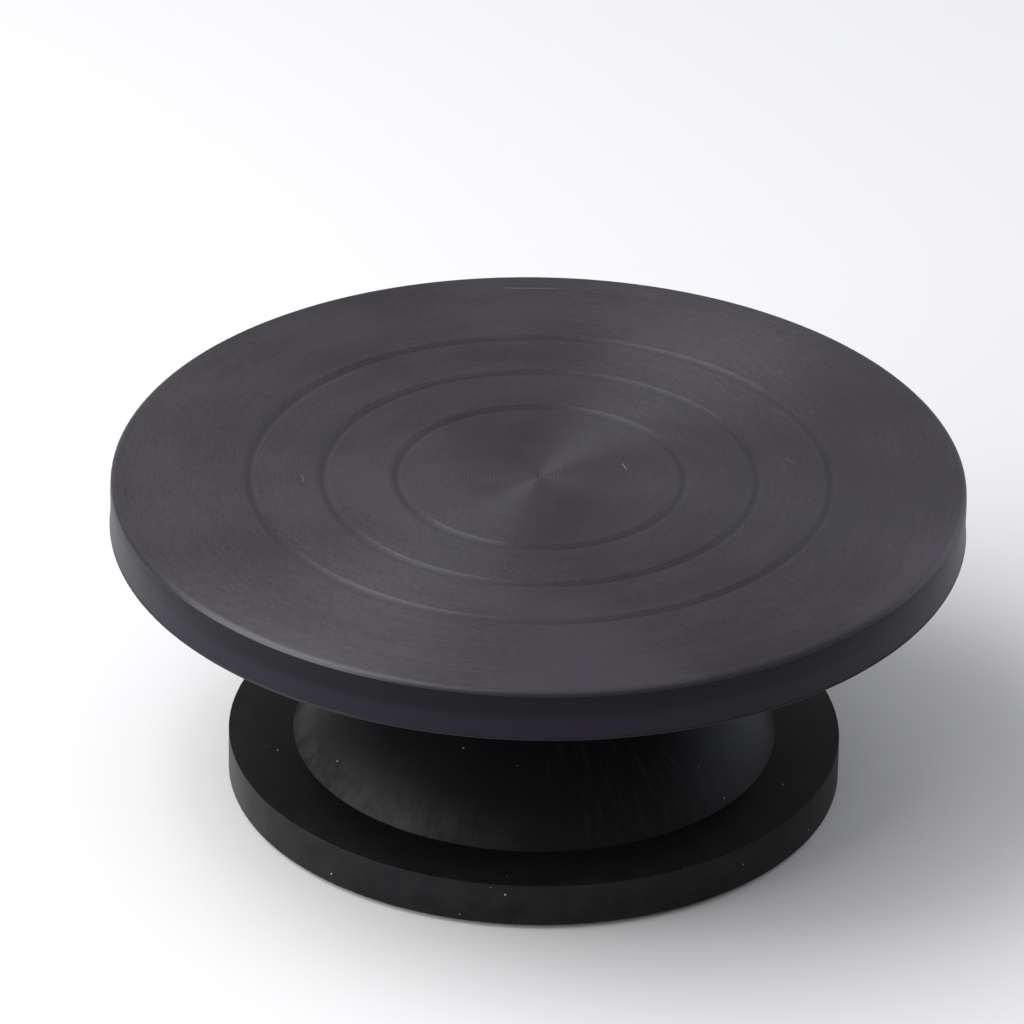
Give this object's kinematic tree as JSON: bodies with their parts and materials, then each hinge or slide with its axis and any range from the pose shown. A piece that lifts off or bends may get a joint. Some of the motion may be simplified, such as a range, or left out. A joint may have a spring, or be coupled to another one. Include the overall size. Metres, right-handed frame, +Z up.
{
  "type": "sculpting turntable",
  "caption": "Round tabletop sculpting turntable: a flat black wheel head with concentric centring grooves and a deep rim, turning freely on a domed round base with a central hub.",
  "frame": {"origin": "on the spin axis, at the bottom of the rubber feet, where the turntable stands", "axes": "+Z up along the spin axis; +X and +Y lie in the floor plane, +X through one of the rubber feet"},
  "size_m": [0.28, 0.28, 0.1115],
  "materials": {
    "wheel_plastic": "lathe-turned satin black plastic, with fine concentric tool lines on the top",
    "base_plastic": "moulded satin black plastic, lightly scuffed",
    "foot_rubber": "matte moulded rubber",
    "seal_rubber": "smooth sealing rubber",
    "spindle_steel": "turned steel, blackened",
    "zinc_steel": "zinc-plated steel",
    "spring_steel": "dark phosphated spring steel",
    "bearing_steel": "ground and polished bearing steel",
    "cage_nylon": "natural moulded nylon"
  },
  "bodies": {
    "wheel": {"wheel_head": "wheel_plastic", "spindle": "spindle_steel", "spindle_screws": "zinc_steel", "screw_washers": "zinc_steel", "upper_inner_ring": "bearing_steel", "bearing_spacer": "spindle_steel", "lower_inner_ring": "bearing_steel", "shim_washer": "zinc_steel", "retaining_ring": "spring_steel"},
    "base": {"base": "base_plastic", "hub_cap": "base_plastic", "bottom_plug": "base_plastic", "rubber_feet": "foot_rubber", "upper_outer_ring": "bearing_steel", "upper_seals": "seal_rubber", "lower_outer_ring": "bearing_steel", "lower_seals": "seal_rubber"},
    "upper_cage": {"upper_cage": "cage_nylon", "upper_balls": "bearing_steel"},
    "lower_cage": {"lower_cage": "cage_nylon", "lower_balls": "bearing_steel"}
  },
  "joints": [
    {"name": "wheel_spin", "type": "hinge", "parent": "base", "child": "wheel", "pos_m": [0, 0, 0.0695], "axis": [0, 0, 1], "continuous": true},
    {"name": "upper_cage_spin", "type": "hinge", "parent": "base", "child": "upper_cage", "pos_m": [0, 0, 0.0695], "axis": [0, 0, 1], "continuous": true},
    {"name": "lower_cage_spin", "type": "hinge", "parent": "base", "child": "lower_cage", "pos_m": [0, 0, 0.0335], "axis": [0, 0, 1], "continuous": true}
  ],
  "couplings": [
    {"joint": "upper_cage_spin", "follows": "wheel_spin", "ratio": 0.3816},
    {"joint": "lower_cage_spin", "follows": "wheel_spin", "ratio": 0.3816}
  ]
}
